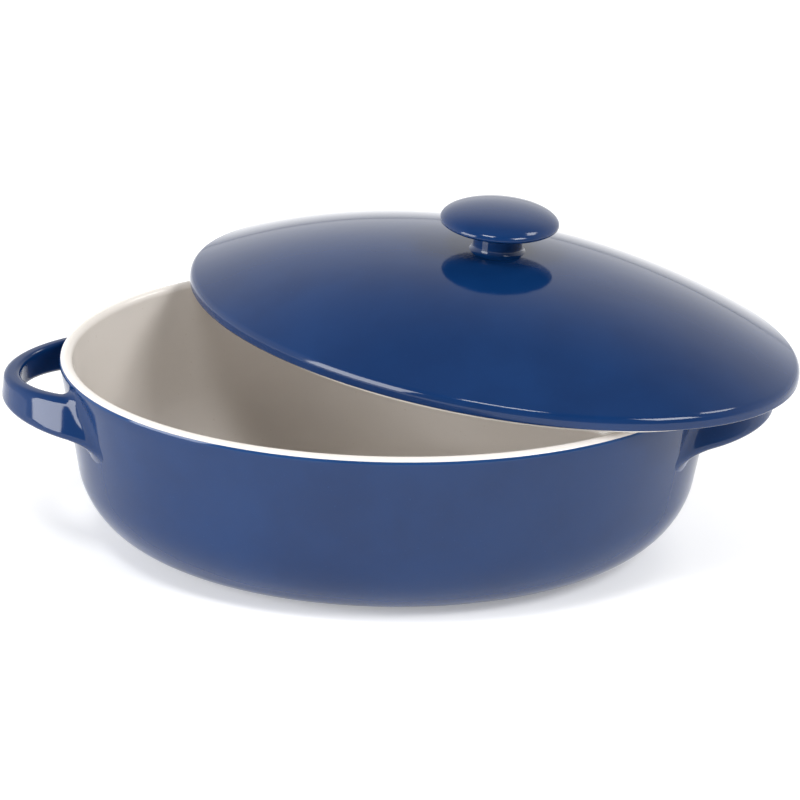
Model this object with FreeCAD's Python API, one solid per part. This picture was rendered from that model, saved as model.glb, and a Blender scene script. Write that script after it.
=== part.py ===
import FreeCAD, Part
import math
import os

# Oval stoneware casserole dish with two loop handles and a loose domed lid.
# Millimetres. +X runs along the oval's long axis, +Z up, origin on the table under the dish's centre.
# The lid lies ajar: slid and turned, resting on the rim.

# The dish
rimHalfLength = 150.0
rimHalfWidth = 107.1
dishHeight = 89.6
lipThickness = 6.0
wallDraftDeg = 9.5
outerCornerRadius = 40.0
innerCornerRadius = 34.0
floorThickness = 7.0
linerThickness = 0.5
linerEdgeDeg = 35.0         # height angle on the rounded lip where the light glaze ends outside

# The foot ring that the dish stands on
footHeight = 2.0
footHalfLength = 99.0
footWidth = 7.0
footRounding = 0.6

# The loop handles, with outer and inner outlines at a low and a high level
handleCentreX = 119.6
hoopBaseZ = 55.0
handleLowZ = 65.0
handleHighZ = 82.2
outerLowReach = 57.2
outerLowWidth = 48.0
outerHighReach = 55.6
outerHighWidth = 39.5
innerReach = 48.0
innerLowWidth = 39.0
innerHighWidth = 33.5
handleTopSlope = 0.08
handleBottomSlope = 0.10
handleTopRounding = 2.4
handleBottomRounding = 3.6

# The lid, in its own frame: z = 0 is the bearing face under its edge
lidHalfLength = 150.0
lidHalfWidth = 107.1
lidEdgeHeight = 7.8
lidEdgeRounding = 3.6
lidUnderRounding = 1.2
lidHeight = 38.2
lidOuterPower = 2.2         # higher is flatter on top and steeper at the edge
lidHollowHeight = 32.0
lidHollowPower = 2.8
bearingWidth = 8.0
ridgeWidth = 5.0
ridgeDepth = 2.7
ridgeRounding = 1.0
curveSteps = 8

# The knob on the lid, and the small flat that it stands on
landHalfLength = 24.0
knobRadius = 27.6
knobMidHeight = 13.9
knobCrown = 7.5
knobBelly = 4.5
neckRadius = 11.0
neckFlare = 5.0

# How the lid lies on the dish
lidTurnDeg = -31.6
lidPitchDeg = 0.73
lidRollDeg = -4.1
lidPlace = FreeCAD.Vector(47.4, 35.5, 89.5)

ovalRatio = rimHalfWidth / rimHalfLength
lidRatio = lidHalfWidth / lidHalfLength
lipRadius = lipThickness / 2.0
draft = math.radians(wallDraftDeg)
lipCentre = (rimHalfLength - lipRadius, dishHeight - lipRadius)


def at(x, z):
    return FreeCAD.Vector(x, 0, z)


def line(a, b):
    return Part.makeLine(at(*a), at(*b))


def arc(centre, radius, startDeg, endDeg):
    """The arc about centre in the XZ plane, by way of its middle."""
    points = []
    for angle in (startDeg, (startDeg + endDeg) / 2.0, endDeg):
        turn = math.radians(angle)
        points.append(at(centre[0] + radius * math.cos(turn), centre[1] + radius * math.sin(turn)))
    return Part.Arc(*points).toShape()


def onArc(centre, radius, angleDeg):
    turn = math.radians(angleDeg)
    return (centre[0] + radius * math.cos(turn), centre[1] + radius * math.sin(turn))


def spun(edges, ratio):
    """The closed outline turned about Z, then drawn in along Y to the oval's ratio."""
    face = Part.Face(Part.Wire(Part.__sortEdges__(edges)))
    solid = face.revolve(FreeCAD.Vector(0, 0, 0), FreeCAD.Vector(0, 0, 1), 360)
    squeeze = FreeCAD.Matrix()
    squeeze.scale(FreeCAD.Vector(1, ratio, 1))
    return Part.Solid(solid.transformGeometry(squeeze))


def corner(rimX, floorZ, radius):
    """Centre of the corner arc that meets the flat floor and the drafted wall ending at rimX."""
    centreZ = floorZ + radius
    rise = lipCentre[1] - centreZ + radius * math.sin(draft)
    return (rimX - radius * math.cos(draft) - rise * math.tan(draft), centreZ)


def wallEdges(rimX, floorZ, radius):
    """Floor, corner and wall from the axis out to the start of the lip."""
    centre = corner(rimX, floorZ, radius)
    return [
        line((0, floorZ), (centre[0], floorZ)),
        arc(centre, radius, -90, -wallDraftDeg),
        line(onArc(centre, radius, -wallDraftDeg), (rimX, lipCentre[1])),
    ]


def outerWall():
    return wallEdges(rimHalfLength, footHeight, outerCornerRadius)


def innerWall(coat):
    """The inner wall, set back into the clay by the thickness of a coat."""
    rimX = rimHalfLength - lipThickness + coat
    return wallEdges(rimX, footHeight + floorThickness - coat, innerCornerRadius + coat)


def dishBody():
    clayLip = lipRadius - linerThickness
    edges = outerWall() + innerWall(linerThickness)
    edges.append(arc(lipCentre, lipRadius, 0, linerEdgeDeg))
    edges.append(line(onArc(lipCentre, lipRadius, linerEdgeDeg), onArc(lipCentre, clayLip, linerEdgeDeg)))
    edges.append(arc(lipCentre, clayLip, linerEdgeDeg, 180))
    edges.append(line((0, footHeight), (0, footHeight + floorThickness - linerThickness)))
    return spun(edges, ovalRatio)


def dishLiner():
    clayLip = lipRadius - linerThickness
    edges = innerWall(0) + innerWall(linerThickness)
    edges.append(arc(lipCentre, lipRadius, linerEdgeDeg, 180))
    edges.append(arc(lipCentre, clayLip, linerEdgeDeg, 180))
    edges.append(line(onArc(lipCentre, lipRadius, linerEdgeDeg), onArc(lipCentre, clayLip, linerEdgeDeg)))
    floorZ = footHeight + floorThickness
    edges.append(line((0, floorZ - linerThickness), (0, floorZ)))
    return spun(edges, ovalRatio)


def dishEnvelope():
    """The dish's outside filled solid, which the handles are trimmed against."""
    edges = outerWall()
    edges.append(arc(lipCentre, lipRadius, 0, 90))
    edges.append(line((lipCentre[0], dishHeight), (0, dishHeight)))
    edges.append(line((0, dishHeight), (0, footHeight)))
    return spun(edges, ovalRatio)


def ovalColumn(halfLength, halfWidth, height, centreX=0.0, lowZ=0.0):
    ellipse = Part.Ellipse(FreeCAD.Vector(centreX, 0, lowZ), halfLength, halfWidth)
    face = Part.Face(Part.Wire([ellipse.toShape()]))
    return face.extrude(FreeCAD.Vector(0, 0, height))


def footRing():
    footHalfWidth = footHalfLength * ovalRatio
    ring = ovalColumn(footHalfLength, footHalfWidth, footHeight)
    ring = ring.cut(ovalColumn(footHalfLength - footWidth, footHalfWidth - footWidth, footHeight))
    lowEdges = [edge for edge in ring.Edges if edge.BoundBox.ZMax < footRounding]
    return ring.makeFillet(footRounding, lowEdges)


def splayedColumn(lowReach, lowWidth, highReach, highWidth):
    """An oval column about the handle's centre that changes evenly from its low outline to its high one."""
    wires = []
    for z in (hoopBaseZ, dishHeight):
        share = (z - handleLowZ) / (handleHighZ - handleLowZ)
        reach = lowReach + (highReach - lowReach) * share
        width = lowWidth + (highWidth - lowWidth) * share
        ellipse = Part.Ellipse(FreeCAD.Vector(handleCentreX, 0, z), reach, width)
        wires.append(Part.Wire([ellipse.toShape()]))
    return Part.makeLoft(wires, True, True)


def rounded(shape, radius, lowZ, highZ):
    """Rounds the long edges of the hoop whose middle lies between two heights."""
    longEdges = [edge for edge in shape.Edges if edge.BoundBox.XLength > innerReach / 2.0]
    return shape.makeFillet(radius, [edge for edge in longEdges if lowZ < edge.CenterOfMass.z < highZ])


def handle(envelope):
    """The right-hand loop: a splayed oval hoop between two sloping planes, trimmed to the wall."""
    hoop = splayedColumn(outerLowReach, outerLowWidth, outerHighReach, outerHighWidth)
    hoop = hoop.cut(splayedColumn(innerReach, innerLowWidth, innerReach, innerHighWidth))
    startX = handleCentreX
    endX = handleCentreX + outerLowReach * 2
    topZ = [handleHighZ - handleTopSlope * (x - rimHalfLength) for x in (startX, endX)]
    bottomZ = [handleLowZ + handleBottomSlope * (x - rimHalfLength) for x in (startX, endX)]
    corners = [at(startX, topZ[0]), at(endX, topZ[1]), at(endX, bottomZ[1]), at(startX, bottomZ[0])]
    band = Part.Face(Part.makePolygon(corners + corners[:1]))
    band.translate(FreeCAD.Vector(0, -rimHalfWidth, 0))
    hoop = hoop.common(band.extrude(FreeCAD.Vector(0, 2 * rimHalfWidth, 0)))
    middleZ = (handleLowZ + handleHighZ) / 2.0
    hoop = rounded(hoop, handleBottomRounding, hoopBaseZ, middleZ)
    hoop = rounded(hoop, handleTopRounding, handleHighZ - handleTopRounding, dishHeight)
    return hoop.cut(envelope).Solids[0]


def mirrored(shape):
    return shape.mirror(FreeCAD.Vector(0, 0, 0), FreeCAD.Vector(1, 0, 0))


def domeHeight(x, halfLength, lowZ, highZ, power):
    return highZ - (highZ - lowZ) * (x / halfLength) ** power


def domeCurve(halfLength, lowZ, highZ, power, innerX=0.0):
    """A smooth curve from the edge up to the middle of the dome, or to a flat that starts at innerX."""
    points = []
    for step in range(curveSteps + 1):
        x = halfLength + (innerX - halfLength) * step / curveSteps
        points.append(at(x, domeHeight(x, halfLength, lowZ, highZ, power)))
    curve = Part.BSplineCurve()
    curve.interpolate(points)
    return curve.toShape()


def lidHollow(lift):
    """The lid's underside from the edge in to the axis, raised by lift."""
    hollowX = lidHalfLength - bearingWidth - ridgeWidth
    return [
        line((lidHalfLength - lidUnderRounding, lift), (hollowX, lift)),
        domeCurve(hollowX, lift, lidHollowHeight + lift, lidHollowPower),
    ]


def lidShoulder():
    """Centre of the rounding over the lid's edge, and the angle where the dome leaves it."""
    centre = (lidHalfLength - lidEdgeRounding, lidEdgeHeight - lidEdgeRounding)
    slope = math.atan((lidHeight - lidEdgeHeight) * lidOuterPower / centre[0])
    return centre, 90.0 - math.degrees(slope)


def landHeight():
    centre, topDeg = lidShoulder()
    domeStart = onArc(centre, lidEdgeRounding, topDeg)
    return domeHeight(landHalfLength, domeStart[0], domeStart[1], lidHeight, lidOuterPower)


def lidOutside():
    """The lid's top from its under edge, over the dome, to the flat in the middle."""
    shoulder, topDeg = lidShoulder()
    domeStart = onArc(shoulder, lidEdgeRounding, topDeg)
    underCentre = (lidHalfLength - lidUnderRounding, linerThickness + lidUnderRounding)
    return [
        arc(underCentre, lidUnderRounding, -90, 0),
        line((lidHalfLength, underCentre[1]), (lidHalfLength, shoulder[1])),
        arc(shoulder, lidEdgeRounding, 0, topDeg),
        domeCurve(domeStart[0], domeStart[1], lidHeight, lidOuterPower, landHalfLength),
        line((landHalfLength, landHeight()), (0, landHeight())),
    ]


def lidDome():
    edges = lidOutside() + lidHollow(linerThickness)
    edges.append(line((0, lidHollowHeight + linerThickness), (0, landHeight())))
    return spun(edges, lidRatio)


def lidLiner():
    edges = lidHollow(0) + lidHollow(linerThickness)
    edgeX = lidHalfLength - lidUnderRounding
    edges.append(line((edgeX, 0), (edgeX, linerThickness)))
    edges.append(line((0, lidHollowHeight), (0, lidHollowHeight + linerThickness)))
    return spun(edges, lidRatio)


def lidRidge():
    """The low ridge under the lid that drops inside the rim when the dish is closed."""
    outerX = lidHalfLength - bearingWidth
    outerY = outerX * lidRatio
    ridge = ovalColumn(outerX, outerY, ridgeDepth, lowZ=-ridgeDepth)
    ridge = ridge.cut(ovalColumn(outerX - ridgeWidth, (outerX - ridgeWidth) * lidRatio, ridgeDepth, lowZ=-ridgeDepth))
    lowEdges = [edge for edge in ridge.Edges if edge.BoundBox.ZMax < -ridgeDepth / 2.0]
    return ridge.makeFillet(ridgeRounding, lowEdges)


def ovalQuarter(centreZ, halfWidth, halfHeight, endAngle):
    """Part of an upright ellipse about the axis, from its widest point towards its top or bottom."""
    ellipse = Part.Ellipse(at(halfWidth, centreZ), at(0, centreZ + halfHeight), at(0, centreZ))
    return Part.ArcOfEllipse(ellipse, 0, endAngle).toShape()


def knob():
    """A waisted neck under a flattened cap."""
    midZ = lidHeight + knobMidHeight
    neckAngle = math.acos(neckRadius / knobRadius)
    neckTop = (neckRadius, midZ - knobBelly * math.sin(neckAngle))
    footRadius = neckRadius + neckFlare
    flareCentre = (footRadius, landHeight() + neckFlare)
    edges = [
        ovalQuarter(midZ, knobRadius, knobCrown, math.pi / 2.0),
        ovalQuarter(midZ, knobRadius, -knobBelly, neckAngle),
        line(neckTop, (neckRadius, flareCentre[1])),
        arc(flareCentre, neckFlare, 180, 270),
        line((footRadius, landHeight()), (0, landHeight())),
        line((0, landHeight()), (0, midZ + knobCrown)),
    ]
    return spun(edges, 1.0)


def laid(shape):
    """A lid piece moved from the lid's own frame to where the lid lies."""
    turn = FreeCAD.Rotation(lidTurnDeg, lidPitchDeg, lidRollDeg)
    return shape.transformGeometry(FreeCAD.Placement(lidPlace, turn).toMatrix())


def writeParts():
    envelope = dishEnvelope()
    rightHandle = handle(envelope)
    parts = {
        "dish_body": dishBody(),
        "dish_liner_glaze": dishLiner(),
        "foot_ring": footRing(),
        "handle_right": rightHandle,
        "handle_left": mirrored(rightHandle),
        "lid_dome": laid(lidDome()),
        "lid_liner_glaze": laid(lidLiner()),
        "lid_locating_ridge": laid(lidRidge()),
        "lid_knob": laid(knob()),
    }
    os.makedirs("parts", exist_ok=True)
    for name, shape in parts.items():
        shape.exportStep("parts/" + name + ".step")
        print(name, len(shape.Solids), shape.isValid(), round(shape.Volume))


writeParts()
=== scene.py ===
import math

import bmesh
import bpy
from mathutils import Euler, Matrix, Vector


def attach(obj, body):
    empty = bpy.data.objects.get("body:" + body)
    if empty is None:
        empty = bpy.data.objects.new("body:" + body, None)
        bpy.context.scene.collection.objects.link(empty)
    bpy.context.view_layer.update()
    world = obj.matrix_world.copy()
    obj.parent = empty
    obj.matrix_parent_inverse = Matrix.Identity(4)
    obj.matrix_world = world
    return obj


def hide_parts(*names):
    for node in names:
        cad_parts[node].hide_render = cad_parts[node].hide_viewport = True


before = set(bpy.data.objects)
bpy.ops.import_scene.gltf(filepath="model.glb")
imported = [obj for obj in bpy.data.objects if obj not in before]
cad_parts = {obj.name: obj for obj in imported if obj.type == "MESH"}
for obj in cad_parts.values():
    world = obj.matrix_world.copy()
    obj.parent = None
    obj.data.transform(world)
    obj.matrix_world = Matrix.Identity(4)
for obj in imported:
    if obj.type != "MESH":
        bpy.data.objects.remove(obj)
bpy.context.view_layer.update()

# Covered oval casserole dish: a bowl with two loop handles, and a loose lid lying ajar on it.
# Outlines are drawn in millimetres in the XZ plane, spun about Z and drawn in along Y to the oval.
millimetre = 0.001
ratioLayer = "ovalRatio"

finish = dict(spinPieces=240, mergeDistance=0.002, smoothAngle=40.0)


def drawStart(x, z):
    bm = bmesh.new()
    return bm, bm.verts.new((x, 0, z))


def drawLine(bm, tip, x, z, pieces=1):
    start = tip.co.copy()
    for step in range(pieces):
        tip = bmesh.ops.extrude_vert_indiv(bm, verts=[tip])["verts"][0]
        tip.co = start.lerp(Vector((x, 0, z)), (step + 1) / pieces)
    return tip


def drawArc(bm, tip, centre, degrees, pieces):
    # a positive angle turns from +X towards +Z
    made = bmesh.ops.spin(bm, geom=[tip], cent=(centre[0], 0, centre[1]), axis=(0, -1, 0), dvec=(0, 0, 0),
                          angle=math.radians(degrees), steps=pieces, use_duplicate=False)
    return [item for item in made["geom_last"] if isinstance(item, bmesh.types.BMVert)][0]


def drawDome(bm, tip, halfLength, lowZ, highZ, power, endX, pieces):
    # from wherever the tip is to endX, on highZ - (highZ - lowZ) * (x / halfLength) ** power
    startX = tip.co.x
    for step in range(pieces):
        x = startX + (endX - startX) * (step + 1) / pieces
        tip = bmesh.ops.extrude_vert_indiv(bm, verts=[tip])["verts"][0]
        tip.co = (x, 0, highZ - (highZ - lowZ) * (x / halfLength) ** power)
    return tip


def spinOval(bm, ratioAt):
    # ratioAt gives each outline point's share of its X that it keeps along Y
    for vert in bm.verts:
        vert.co.y = 0
    layer = bm.verts.layers.float.new(ratioLayer)
    for vert in bm.verts:
        vert[layer] = ratioAt(vert.co.x, vert.co.z)
    bmesh.ops.spin(bm, geom=bm.verts[:] + bm.edges[:], cent=(0, 0, 0), axis=(0, 0, 1), dvec=(0, 0, 0),
                   angle=math.tau, steps=finish["spinPieces"], use_merge=True, use_duplicate=False)
    bmesh.ops.remove_doubles(bm, verts=bm.verts, dist=finish["mergeDistance"])
    for vert in bm.verts:
        vert.co.y *= vert[layer]
    bmesh.ops.recalc_face_normals(bm, faces=bm.faces)
    return bm


def makePiece(bm, name, body, nodes, material, place=None):
    bmesh.ops.transform(bm, matrix=place or Matrix.Identity(4), verts=bm.verts)
    bmesh.ops.scale(bm, vec=(millimetre,) * 3, verts=bm.verts)
    mesh = bpy.data.meshes.new(name)
    bm.to_mesh(mesh)
    bm.free()
    mesh.materials.append(material)
    for face in mesh.polygons:
        face.use_smooth = True
    mesh.set_sharp_from_angle(angle=math.radians(finish["smoothAngle"]))
    piece = bpy.data.objects.new(name, mesh)
    bpy.context.scene.collection.objects.link(piece)
    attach(piece, body)
    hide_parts(*nodes)
    print("made", name, len(mesh.polygons), "faces")
    return piece


# Materials

class Wire:
    # a socket that sums, products and differences can be written with
    def __init__(self, board, socket):
        self.board = board
        self.socket = socket

    def join(self, operation, first, second):
        return self.board.add("ShaderNodeMath", {"operation": operation}, {0: first, 1: second}, 0)

    def __add__(self, other):
        return self.join("ADD", self, other)

    def __sub__(self, other):
        return self.join("SUBTRACT", self, other)

    def __mul__(self, other):
        return self.join("MULTIPLY", self, other)

    def __rsub__(self, other):
        return self.join("SUBTRACT", other, self)

    __radd__ = __add__
    __rmul__ = __mul__


class Board:
    # the nodes of one material or of the world
    def __init__(self, owner, shaderName="Principled BSDF"):
        owner.use_nodes = True
        self.owner = owner
        self.tree = owner.node_tree
        self.shader = self.tree.nodes[shaderName]

    def add(self, kind, settings, values, output):
        node = self.tree.nodes.new(kind)
        for key, value in settings.items():
            if key == "stops":
                ramp = node.color_ramp
                while len(ramp.elements) < len(value):
                    ramp.elements.new(1.0)
                for element, (position, colour) in zip(ramp.elements, value):
                    element.position = position
                    element.color = colour
            else:
                setattr(node, key, value)
        for key, value in values.items():
            self.feed(node.inputs[key], value)
        return Wire(self, node.outputs[output])

    def feed(self, socket, value):
        if isinstance(value, Wire):
            self.tree.links.new(value.socket, socket)
        else:
            socket.default_value = value

    def surface(self, **values):
        for key, value in values.items():
            self.feed(self.shader.inputs[key.replace("_", " ")], value)

    def place(self):
        return self.add("ShaderNodeTexCoord", {}, {}, "Object")

    def noise(self, where, scale, detail=3.0, roughness=0.5):
        values = {"Vector": where, "Scale": scale, "Detail": detail, "Roughness": roughness}
        return self.add("ShaderNodeTexNoise", {}, values, 0)

    def ramp(self, factor, *stops):
        return self.add("ShaderNodeValToRGB", {"stops": stops}, {"Fac": factor}, 0)

    def band(self, value, low, high):
        # 0 below low, 1 above high, eased between
        settings = {"interpolation_type": "SMOOTHSTEP"}
        values = {"Value": value, "From Min": low, "From Max": high}
        return self.add("ShaderNodeMapRange", settings, values, 0)

    def blend(self, factor, first, second):
        values = {0: factor, 6: first, 7: second}
        return self.add("ShaderNodeMix", {"data_type": "RGBA"}, values, 2)

    def axis(self, where, name):
        return self.add("ShaderNodeSeparateXYZ", {}, {0: where}, name)

    def bump(self, height, strength, distance):
        values = {"Height": height, "Strength": strength, "Distance": distance}
        return self.add("ShaderNodeBump", {}, values, 0)


def rgb(red, green, blue):
    return (red, green, blue, 1.0)


# the palest blue colours both the pale flecks and the painted highlight under the dish lip
cobalt = dict(
    deep=rgb(0.0024, 0.0215, 0.088), full=rgb(0.0034, 0.0275, 0.108), paleFleckAndHighlight=rgb(0.014, 0.062, 0.190),
    poolScale=9.0, veilScale=38.0, rippleScale=95.0, rippleStrength=0.05, rippleDistance=0.0006,
    fleckScale=900.0, roughLow=0.055, roughHigh=0.12, gloss=0.36,
    poolShare=0.7, veilShare=0.3, poolFrom=0.36, poolTo=0.64, fleckFrom=0.74, fleckTo=0.80, fleckShare=0.35)

cream = dict(
    warm=rgb(0.73, 0.685, 0.635), pale=rgb(0.77, 0.73, 0.69), fleck=rgb(0.50, 0.43, 0.34),
    poolScale=7.0, fleckScale=620.0, rippleScale=80.0, rippleStrength=0.05, rippleDistance=0.0006,
    roughLow=0.10, roughHigh=0.19, gloss=0.45,
    poolFrom=0.35, poolTo=0.65, fleckFrom=0.75, fleckTo=0.79, fleckShare=0.25)

stoneware = dict(
    buff=rgb(0.56, 0.47, 0.36), toasted=rgb(0.40, 0.31, 0.22), grit=rgb(0.20, 0.15, 0.11),
    bodyScale=24.0, gritScale=780.0, grainScale=1500.0, grainStrength=0.35, grainDistance=0.0003,
    toastFrom=0.35, toastTo=0.68, gritFrom=0.66, gritTo=0.72, gritShare=0.8, roughLow=0.80, roughSpan=0.12)


def cobaltColour(board, where, values):
    # the glaze pools a little darker and veils a little lighter
    pool = board.noise(where, values["poolScale"], 4.0)
    veil = board.noise(where, values["veilScale"], 5.0, 0.6)
    mixed = pool * values["poolShare"] + veil * values["veilShare"]
    mottle = board.band(mixed, values["poolFrom"], values["poolTo"])
    return board.blend(mottle, values["deep"], values["full"])


def glazeSurface(board, where, colour, values):
    wave = board.noise(where, values["rippleScale"], 2.0, 0.4)
    smear = board.noise(where, values["poolScale"], 3.0)
    rough = board.band(smear, 0.3, 0.7) * (values["roughHigh"] - values["roughLow"]) + values["roughLow"]
    normal = board.bump(wave, values["rippleStrength"], values["rippleDistance"])
    board.surface(Base_Color=colour, Roughness=rough, Normal=normal, Specular_IOR_Level=values["gloss"])
    return board.owner


def cobaltGlaze(name, paintedHighlightMask=None):
    # the mask takes the board and the place, and gives 1 where the blue is painted lighter as a painted
    # highlight
    board = Board(bpy.data.materials.new(name))
    where = board.place()
    colour = cobaltColour(board, where, cobalt)
    speck = board.noise(where, cobalt["fleckScale"], 1.0)
    fleck = board.band(speck, cobalt["fleckFrom"], cobalt["fleckTo"])
    colour = board.blend(fleck * cobalt["fleckShare"], colour, cobalt["paleFleckAndHighlight"])
    # painted highlight: where the mask gives 1 the blue is painted lighter
    if paintedHighlightMask:
        colour = board.blend(paintedHighlightMask(board, where), colour, cobalt["paleFleckAndHighlight"])
    return glazeSurface(board, where, colour, cobalt)


def creamGlaze(name):
    board = Board(bpy.data.materials.new(name))
    where = board.place()
    pool = board.noise(where, cream["poolScale"], 4.0)
    colour = board.blend(board.band(pool, cream["poolFrom"], cream["poolTo"]), cream["warm"], cream["pale"])
    speck = board.noise(where, cream["fleckScale"], 1.0)
    fleck = board.band(speck, cream["fleckFrom"], cream["fleckTo"])
    colour = board.blend(fleck * cream["fleckShare"], colour, cream["fleck"])
    return glazeSurface(board, where, colour, cream)


def bareStoneware(name):
    board = Board(bpy.data.materials.new(name))
    where = board.place()
    body = board.noise(where, stoneware["bodyScale"], 6.0, 0.6)
    toast = board.band(body, stoneware["toastFrom"], stoneware["toastTo"])
    colour = board.blend(toast, stoneware["buff"], stoneware["toasted"])
    speck = board.noise(where, stoneware["gritScale"], 2.0)
    grit = board.band(speck, stoneware["gritFrom"], stoneware["gritTo"])
    colour = board.blend(grit * stoneware["gritShare"], colour, stoneware["grit"])
    grain = board.noise(where, stoneware["grainScale"], 4.0, 0.7)
    normal = board.bump(grain, stoneware["grainStrength"], stoneware["grainDistance"])
    rough = board.band(body, 0.2, 0.8) * stoneware["roughSpan"] + stoneware["roughLow"]
    board.surface(Base_Color=colour, Roughness=rough, Normal=normal)
    return board.owner


# The dish

# the last keys set the height band of the painted highlight under the lip, in metres, with its share and
# wobble
dish = dict(
    halfLength=150.0, halfWidth=107.099, height=89.6, lip=6.0, draftDeg=9.5, cornerOut=40.0, cornerIn=34.0,
    floor=7.0, coat=0.5, glazeLineDeg=35.0, footHeight=2.0, footHalfLength=99.0, footWidth=7.0, footRound=0.7,
    cornerPieces=20, lipPieces=9, wallPieces=10, floorPieces=10, glazeLinePieces=4, footPieces=4,
    hairline=0.01, highlightFrom=0.0868, highlightTo=0.0892, highlightShare=0.75, wobbleScale=26.0, wobble=0.0012)
lipRadius = dish["lip"] / 2
lipCentre = (dish["halfLength"] - lipRadius, dish["height"] - lipRadius)
outerRatio = dish["halfWidth"] / dish["halfLength"]
innerRatio = (dish["halfWidth"] - dish["lip"]) / (dish["halfLength"] - dish["lip"])


def wallCorner(rimX, floorZ, radius):
    # centre of the corner arc between the flat floor and the drafted wall that ends at rimX
    draft = math.radians(dish["draftDeg"])
    rise = lipCentre[1] - floorZ - radius + radius * math.sin(draft)
    return (rimX - radius * math.cos(draft) - rise * math.tan(draft), floorZ + radius)


def drawWall(bm, tip, rimX, floorZ, radius):
    # from the middle of the floor out and up to the start of the lip
    centre = wallCorner(rimX, floorZ, radius)
    tip = drawLine(bm, tip, centre[0], floorZ, dish["floorPieces"])
    tip = drawArc(bm, tip, centre, 90 - dish["draftDeg"], dish["cornerPieces"])
    return drawLine(bm, tip, rimX, lipCentre[1], dish["wallPieces"])


def wallOutline(z):
    # half-length of the dish's outside at a height
    centre = wallCorner(dish["halfLength"], dish["footHeight"], dish["cornerOut"])
    draft = math.radians(dish["draftDeg"])
    tangentZ = centre[1] - dish["cornerOut"] * math.sin(draft)
    if z >= tangentZ:
        return dish["halfLength"] - (lipCentre[1] - min(z, lipCentre[1])) * math.tan(draft)
    drop = min(centre[1] - z, dish["cornerOut"])
    return centre[0] + math.sqrt(dish["cornerOut"] ** 2 - drop ** 2)


def lipRatio(x, z):
    # inside the wall's middle the inner ratio holds, and over the lip one eases into the other
    if z > lipCentre[1] - dish["hairline"]:
        share = min(max((x - lipCentre[0] + lipRadius) / dish["lip"], 0), 1)
        return innerRatio + (outerRatio - innerRatio) * share
    return outerRatio if x > wallOutline(z) - lipRadius else innerRatio


def lipPoint(radius, degrees):
    turn = math.radians(degrees)
    return lipCentre[0] + radius * math.cos(turn), lipCentre[1] + radius * math.sin(turn)


def dishShell():
    rimX = dish["halfLength"]
    clayLip = lipRadius - dish["coat"]
    bm, tip = drawStart(0, dish["footHeight"])
    tip = drawWall(bm, tip, rimX, dish["footHeight"], dish["cornerOut"])
    tip = drawArc(bm, tip, lipCentre, dish["glazeLineDeg"], dish["glazeLinePieces"])
    tip = drawLine(bm, tip, *lipPoint(clayLip, dish["glazeLineDeg"]))
    tip = drawArc(bm, tip, lipCentre, 180 - dish["glazeLineDeg"], dish["lipPieces"])
    floorZ = dish["footHeight"] + dish["floor"] - dish["coat"]
    backWall(bm, tip, rimX - dish["lip"] + dish["coat"], floorZ, dish["cornerIn"] + dish["coat"])
    return spinOval(bm, lipRatio)


def backWall(bm, tip, rimX, floorZ, radius):
    # from the lip down the inside and in to the middle of the floor
    centre = wallCorner(rimX, floorZ, radius)
    turn = math.radians(-dish["draftDeg"])
    foot = (centre[0] + radius * math.cos(turn), centre[1] + radius * math.sin(turn))
    tip = drawLine(bm, tip, *foot, dish["wallPieces"])
    tip = drawArc(bm, tip, centre, dish["draftDeg"] - 90, dish["cornerPieces"])
    return drawLine(bm, tip, 0, floorZ, dish["floorPieces"])


def dishLiner():
    coat = dish["coat"]
    floorZ = dish["footHeight"] + dish["floor"]
    rimX = dish["halfLength"] - dish["lip"]
    bm, tip = drawStart(0, floorZ - coat)
    tip = drawWall(bm, tip, rimX + coat, floorZ - coat, dish["cornerIn"] + coat)
    tip = drawArc(bm, tip, lipCentre, dish["glazeLineDeg"] - 180, dish["lipPieces"])
    tip = drawLine(bm, tip, *lipPoint(lipRadius, dish["glazeLineDeg"]))
    tip = drawArc(bm, tip, lipCentre, 180 - dish["glazeLineDeg"], dish["lipPieces"] * 2)
    backWall(bm, tip, rimX, floorZ, dish["cornerIn"])
    return spinOval(bm, lipRatio)


def footRing():
    outX = dish["footHalfLength"]
    inX = outX - dish["footWidth"]
    edge = dish["footRound"]
    top = dish["footHeight"]
    bm, first = drawStart(outX, top)
    tip = drawLine(bm, first, outX, edge)
    tip = drawArc(bm, tip, (outX - edge, edge), -90, dish["footPieces"])
    tip = drawLine(bm, tip, inX + edge, 0, 2)
    tip = drawArc(bm, tip, (inX + edge, edge), -90, dish["footPieces"])
    tip = drawLine(bm, tip, inX, top)
    bm.edges.new((tip, first))
    return spinOval(bm, lambda x, z: outerRatio)


def rimPaintedHighlight(board, where):
    # painted highlight: the blue is painted lighter in a band just under the lip, along the edge that shines
    height = board.axis(where, "Z")
    wobble = board.noise(where, dish["wobbleScale"], 3.0) * dish["wobble"]
    return board.band(height + wobble, dish["highlightFrom"], dish["highlightTo"]) * dish["highlightShare"]


cobaltDish = cobaltGlaze("cobaltGlazeDish", rimPaintedHighlight)
cobaltPlain = cobaltGlaze("cobaltGlaze")
creamPlain = creamGlaze("creamGlaze")
stonewarePlain = bareStoneware("bareStoneware")

makePiece(dishShell(), "dishShell", "dish", ["dish_body"], cobaltDish)
makePiece(dishLiner(), "dishLiner", "dish", ["dish_liner_glaze"], creamPlain)
makePiece(footRing(), "footRing", "dish", ["foot_ring"], stonewarePlain)


# The loop handles

handle = dict(
    centreX=119.6, lowZ=65.0, highZ=82.2, outerLow=(56.9, 48.0), outerHigh=(55.6, 39.5),
    innerLow=(48.0, 39.0), innerHigh=(48.0, 33.5), topSlope=0.08, bottomSlope=0.10,
    sectionWide=8.4, sectionTall=17.0, topRound=2.9, bottomRound=3.6, roundPieces=6,
    hoopPieces=160, bury=2.5, rootRound=5.0, rootDrop=5.0,
    spinReach=4, halvings=24, sideCuts=5, longEdge=3, keyDigits=4)


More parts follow.
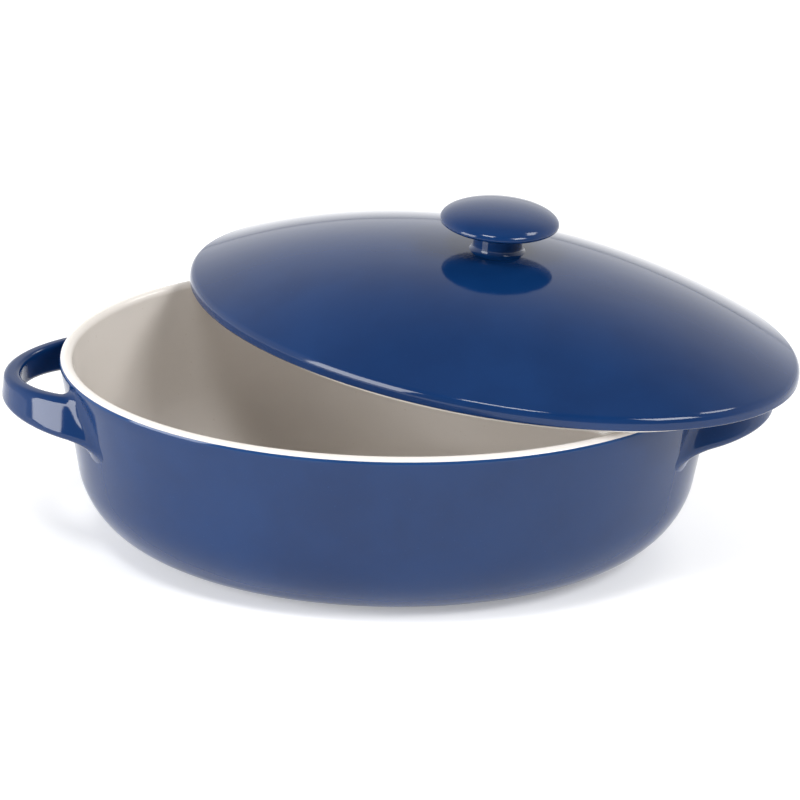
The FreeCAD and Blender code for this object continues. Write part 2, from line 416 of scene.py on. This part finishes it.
def wallGap(co):
    # how far a point stands outside the wall, roughly square to it
    halfLength = wallOutline(co.z)
    reach = math.hypot(co.x, co.y / outerRatio)
    slope = Vector((co.x / halfLength, co.y / (outerRatio ** 2 * halfLength))).length
    return (reach - halfLength) * reach / halfLength / slope


def wallNormal(co):
    out = Vector((co.x, co.y / outerRatio ** 2, 0)).normalized()
    out.z = -math.tan(math.radians(dish["draftDeg"]))
    return out.normalized()


def hoopPoint(across, up, degrees):
    # across runs 0 to 1 from the inner outline to the outer, up from the underside to the top
    inner = [low + (high - low) * up for low, high in zip(handle["innerLow"], handle["innerHigh"])]
    outer = [low + (high - low) * up for low, high in zip(handle["outerLow"], handle["outerHigh"])]
    reach, width = [start + (end - start) * across for start, end in zip(inner, outer)]
    x = handle["centreX"] + reach * math.cos(math.radians(degrees))
    top = handle["highZ"] - handle["topSlope"] * (x - dish["halfLength"])
    bottom = handle["lowZ"] + handle["bottomSlope"] * (x - dish["halfLength"])
    return Vector((x, width * math.sin(math.radians(degrees)), bottom + (top - bottom) * up))


def hoopEnd(across, up):
    # the angle at which one line of the strap has gone far enough into the wall
    near, far = 0.0, 90.0
    for halving in range(handle["halvings"]):
        middle = (near + far) / 2
        if wallGap(hoopPoint(across, up, middle)) > -handle["bury"]:
            near = middle
        else:
            far = middle
    return near


def strapSection(bm):
    half = handle["sectionWide"] / 2
    tall = handle["sectionTall"] / 2
    bmesh.ops.create_grid(bm, x_segments=1, y_segments=1, size=1)
    bmesh.ops.scale(bm, vec=(half, tall, 1), verts=bm.verts)
    for side, offset in ((1, handle["topRound"]), (-1, handle["bottomRound"])):
        corners = [vert for vert in bm.verts if vert.co.y * side > tall - millimetre]
        bmesh.ops.bevel(bm, geom=corners, offset=offset, offset_type="OFFSET", affect="VERTICES",
                        segments=handle["roundPieces"], profile=0.5, material=-1)
    longEdges = [edge for edge in bm.edges if edge.calc_length() > handle["longEdge"]]
    bmesh.ops.subdivide_edges(bm, edges=longEdges, cuts=handle["sideCuts"])
    return half, tall


def loopHandle():
    bm = bmesh.new()
    half, tall = strapSection(bm)
    spinRadius = half * handle["spinReach"]
    bmesh.ops.rotate(bm, cent=(0, 0, 0), matrix=Matrix.Rotation(math.radians(90), 3, "X"), verts=bm.verts)
    bmesh.ops.translate(bm, vec=(spinRadius, 0, 0), verts=bm.verts)
    bmesh.ops.rotate(bm, cent=(0, 0, 0), matrix=Matrix.Rotation(math.radians(-90), 3, "Z"), verts=bm.verts)
    bmesh.ops.spin(bm, geom=bm.faces[:] + bm.edges[:] + bm.verts[:], cent=(0, 0, 0), axis=(0, 0, 1),
                   dvec=(0, 0, 0), angle=math.pi, steps=handle["hoopPieces"], use_duplicate=False)
    # a plain half ring first, then each point goes to its place on the hoop
    ends = {}
    for vert in bm.verts:
        offset = math.hypot(vert.co.x, vert.co.y) - spinRadius
        share = math.atan2(vert.co.y, vert.co.x) / math.radians(90)
        across, up = offset / half / 2 + 0.5, vert.co.z / tall / 2 + 0.5
        key = (round(across, handle["keyDigits"]), round(up, handle["keyDigits"]))
        if key not in ends:
            ends[key] = hoopEnd(across, up)
        co = hoopPoint(across, up, share * ends[key])
        away = (co - hoopPoint(0.5, 0.5, share * ends[key])).normalized()
        along = away - wallNormal(co) * away.dot(wallNormal(co))
        spread = handle["rootRound"] + handle["rootDrop"] * max(-away.z, 0)
        left = spread - min(max(wallGap(co), 0), spread)
        vert.co = co + along.normalized() * (spread - math.sqrt(spread ** 2 - left ** 2))
    bmesh.ops.recalc_face_normals(bm, faces=bm.faces)
    return bm


rightLoop = loopHandle()
leftLoop = rightLoop.copy()
bmesh.ops.scale(leftLoop, vec=(-1, 1, 1), verts=leftLoop.verts)
bmesh.ops.recalc_face_normals(leftLoop, faces=leftLoop.faces)
makePiece(rightLoop, "handleRight", "dish", ["handle_right"], cobaltPlain)
makePiece(leftLoop, "handleLeft", "dish", ["handle_left"], cobaltPlain)


# The lid

lid = dict(
    halfLength=150.0, halfWidth=107.1, edgeHeight=7.8, edgeRound=4.4, underRound=1.2, height=38.2, power=2.2,
    hollowHeight=32.0, hollowPower=2.8, bearing=8.0, ridgeWidth=5.0, ridgeDepth=2.7, ridgeRound=1.0, coat=0.5,
    landHalfLength=24.0, linerInset=3.2, domePieces=60, flatPieces=3,
    underPieces=6, shoulderPieces=14, ridgePieces=5, turnDeg=-31.6, pitchDeg=0.73, rollDeg=-4.1,
    place=(47.4, 35.5, 89.5))
lidRatio = lid["halfWidth"] / lid["halfLength"]
lidTurn = Euler([math.radians(lid[key]) for key in ("rollDeg", "pitchDeg", "turnDeg")]).to_matrix().to_4x4()
lidPlace = Matrix.Translation(lid["place"]) @ lidTurn
shoulder = (lid["halfLength"] - lid["edgeRound"], lid["edgeHeight"] - lid["edgeRound"])
shoulderDeg = 90 - math.degrees(math.atan((lid["height"] - lid["edgeHeight"]) * lid["power"] / shoulder[0]))
domeX = shoulder[0] + lid["edgeRound"] * math.cos(math.radians(shoulderDeg))
domeZ = shoulder[1] + lid["edgeRound"] * math.sin(math.radians(shoulderDeg))
landZ = lid["height"] - (lid["height"] - domeZ) * (lid["landHalfLength"] / domeX) ** lid["power"]
hollowX = lid["halfLength"] - lid["bearing"] - lid["ridgeWidth"]


def lidOval(x, z):
    return lidRatio


def lidShell():
    coat = lid["coat"]
    under = (lid["halfLength"] - lid["underRound"], lid["underRound"] + coat)
    hollowZ = lid["hollowHeight"] + coat
    bm, tip = drawStart(0, hollowZ)
    tip = drawDome(bm, tip, hollowX, coat, hollowZ, lid["hollowPower"], hollowX, lid["domePieces"])
    tip = drawLine(bm, tip, under[0], coat, lid["flatPieces"])
    tip = drawArc(bm, tip, under, 90, lid["underPieces"])
    tip = drawLine(bm, tip, lid["halfLength"], shoulder[1], lid["flatPieces"])
    tip = drawArc(bm, tip, shoulder, shoulderDeg, lid["shoulderPieces"])
    drawDome(bm, tip, domeX, domeZ, lid["height"], lid["power"], 0, lid["domePieces"])
    return spinOval(bm, lidOval)


def lidLiner():
    coat = lid["coat"]
    # the coat stops short of the rounded edge, so it does not show from above
    edge = lid["halfLength"] - lid["linerInset"]
    bm, tip = drawStart(0, lid["hollowHeight"])
    tip = drawDome(bm, tip, hollowX, 0, lid["hollowHeight"], lid["hollowPower"], hollowX, lid["domePieces"])
    tip = drawLine(bm, tip, edge, 0, lid["flatPieces"])
    tip = drawLine(bm, tip, edge, coat)
    tip = drawLine(bm, tip, hollowX, coat, lid["flatPieces"])
    drawDome(bm, tip, hollowX, coat, lid["hollowHeight"] + coat, lid["hollowPower"], 0, lid["domePieces"])
    return spinOval(bm, lidOval)


def lidRidge():
    outX = lid["halfLength"] - lid["bearing"]
    inX = outX - lid["ridgeWidth"]
    edge = lid["ridgeRound"]
    low = -lid["ridgeDepth"]
    bm, first = drawStart(outX, 0)
    tip = drawLine(bm, first, outX, low + edge)
    tip = drawArc(bm, tip, (outX - edge, low + edge), -90, lid["ridgePieces"])
    tip = drawLine(bm, tip, inX + edge, low, 2)
    tip = drawArc(bm, tip, (inX + edge, low + edge), -90, lid["ridgePieces"])
    tip = drawLine(bm, tip, inX, 0)
    bm.edges.new((tip, first))
    return spinOval(bm, lidOval)


cobaltLid = cobaltGlaze("cobaltGlazeLid")
makePiece(lidShell(), "lidShell", "lid", ["lid_dome"], cobaltLid, lidPlace)
makePiece(lidLiner(), "lidLiner", "lid", ["lid_liner_glaze"], creamPlain, lidPlace)
makePiece(lidRidge(), "lidRidge", "lid", ["lid_locating_ridge"], creamPlain, lidPlace)


# The knob

knob = dict(
    radius=27.5, midHeight=13.9, crown=7.5, belly=4.5, neck=11.3, flare=3.2, capPieces=40,
    bellyPieces=24, neckPieces=6, flarePieces=12, footPieces=3)


def drawOval(bm, tip, centreZ, halfWidth, halfHeight, fromDeg, toDeg, pieces):
    for step in range(pieces):
        turn = math.radians(fromDeg + (toDeg - fromDeg) * (step + 1) / pieces)
        tip = bmesh.ops.extrude_vert_indiv(bm, verts=[tip])["verts"][0]
        tip.co = (halfWidth * math.cos(turn), 0, centreZ + halfHeight * math.sin(turn))
    return tip


def mushroomKnob():
    midZ = lid["height"] + knob["midHeight"]
    bm, tip = drawStart(0, landZ)
    tip = drawLine(bm, tip, knob["neck"] + knob["flare"], landZ, knob["footPieces"])
    tip = drawArc(bm, tip, (knob["neck"] + knob["flare"], landZ + knob["flare"]), -90, knob["flarePieces"])
    neckDeg = -math.degrees(math.acos(knob["neck"] / knob["radius"]))
    neckTop = midZ + knob["belly"] * math.sin(math.radians(neckDeg))
    tip = drawLine(bm, tip, knob["neck"], neckTop, knob["neckPieces"])
    tip = drawOval(bm, tip, midZ, knob["radius"], knob["belly"], neckDeg, 0, knob["bellyPieces"])
    drawOval(bm, tip, midZ, knob["radius"], knob["crown"], 0, 90, knob["capPieces"])
    return spinOval(bm, lambda x, z: 1.0)


makePiece(mushroomKnob(), "lidKnob", "lid", ["lid_knob"], cobaltPlain, lidPlace)


# The floor, the light and the camera

stage = dict(
    floorSize=24.0, floorColour=rgb(0.93, 0.93, 0.93), floorGlow=0.30, floorRough=0.9, floorSheen=0.1,
    lampDistance=4.0, aim=(0.0, 0.0, 0.07),
    skyTop=1.3, frontShare=0.25, frontFrom=-0.7, frontTo=0.25)

softboxes = [
    dict(name="leftBox", turnDeg=-64.0, riseDeg=18.0, size=(2.1, 2.2), radiance=9.5),
    dict(name="highLeftBox", turnDeg=-30.0, riseDeg=66.0, size=(1.2, 0.8), radiance=15.0),
    dict(name="rightBox", turnDeg=48.0, riseDeg=43.0, size=(1.5, 1.2), radiance=13.0),
    dict(name="backBox", turnDeg=112.0, riseDeg=52.0, size=(1.1, 0.7), radiance=9.0),
]

# how bright the room is by height: pale low down, dark overhead
roomStops = [(0.0, rgb(1, 1, 1)), (0.17, rgb(0.95, 0.95, 0.95)), (0.5, rgb(0.75, 0.75, 0.75)),
             (0.73, rgb(0.42, 0.42, 0.42)), (0.88, rgb(0.25, 0.25, 0.25))]


def makeFloor():
    bm = bmesh.new()
    bmesh.ops.create_grid(bm, x_segments=1, y_segments=1, size=stage["floorSize"] / 2)
    mesh = bpy.data.meshes.new("floor")
    bm.to_mesh(mesh)
    bm.free()
    board = Board(bpy.data.materials.new("floorPaper"))
    # the floor also glows evenly: painted light that lifts the shadows cast on it
    board.surface(Base_Color=stage["floorColour"], Roughness=stage["floorRough"],
                  Specular_IOR_Level=stage["floorSheen"],
                  Emission_Color=stage["floorColour"], Emission_Strength=stage["floorGlow"])
    mesh.materials.append(board.owner)
    floor = bpy.data.objects.new("floor", mesh)
    bpy.context.scene.collection.objects.link(floor)


def makeLamp(values):
    # turned from the front towards the right, and raised
    turn, rise = math.radians(values["turnDeg"]), math.radians(values["riseDeg"])
    out = Vector((math.sin(turn) * math.cos(rise), -math.cos(turn) * math.cos(rise), math.sin(rise)))
    light = bpy.data.lights.new(values["name"], "AREA")
    light.shape = "RECTANGLE"
    light.size, light.size_y = values["size"]
    light.energy = values["radiance"] * light.size * light.size_y * math.pi
    lamp = bpy.data.objects.new(values["name"], light)
    lamp.location = Vector(stage["aim"]) + out * stage["lampDistance"]
    lamp.rotation_euler = (-out).to_track_quat("-Z", "Y").to_euler()
    bpy.context.scene.collection.objects.link(lamp)


def makeRoom():
    board = Board(bpy.data.worlds.new("room"), "Background")
    towards = board.add("ShaderNodeTexCoord", {}, {}, "Generated")
    heightLight = board.ramp(board.axis(towards, "Z"), *roomStops)
    frontLight = board.band(board.axis(towards, "Y"), stage["frontFrom"], stage["frontTo"])
    share = frontLight * (1 - stage["frontShare"]) + stage["frontShare"]
    board.surface(Color=heightLight, Strength=share * stage["skyTop"])
    bpy.context.scene.world = board.owner


view = dict(
    turnDeg=-1.77, riseDeg=25.34, rollDeg=1.59, distance=2.5653, aim=(0.0054, 0.0, 0.0681), lens=252.7,
    clipEnd=100)


def makeCamera():
    turn, rise, roll = [math.radians(view[key]) for key in ("turnDeg", "riseDeg", "rollDeg")]
    back = Vector((math.sin(turn) * math.cos(rise), -math.cos(turn) * math.cos(rise), math.sin(rise)))
    level = Vector((math.cos(turn), math.sin(turn), 0))
    right = level * math.cos(roll) + back.cross(level) * math.sin(roll)
    camera = bpy.data.objects.new("camera", bpy.data.cameras.new("camera"))
    camera.data.lens = view["lens"]
    camera.data.clip_end = view["clipEnd"]
    turned = Matrix((right, back.cross(right), back)).transposed().to_4x4()
    camera.matrix_world = Matrix.Translation(Vector(view["aim"]) + back * view["distance"]) @ turned
    bpy.context.scene.collection.objects.link(camera)
    bpy.context.scene.camera = camera


makeFloor()
makeRoom()
for values in softboxes:
    makeLamp(values)
makeCamera()
bpy.context.scene.view_settings.view_transform = "Standard"
print("stage set")
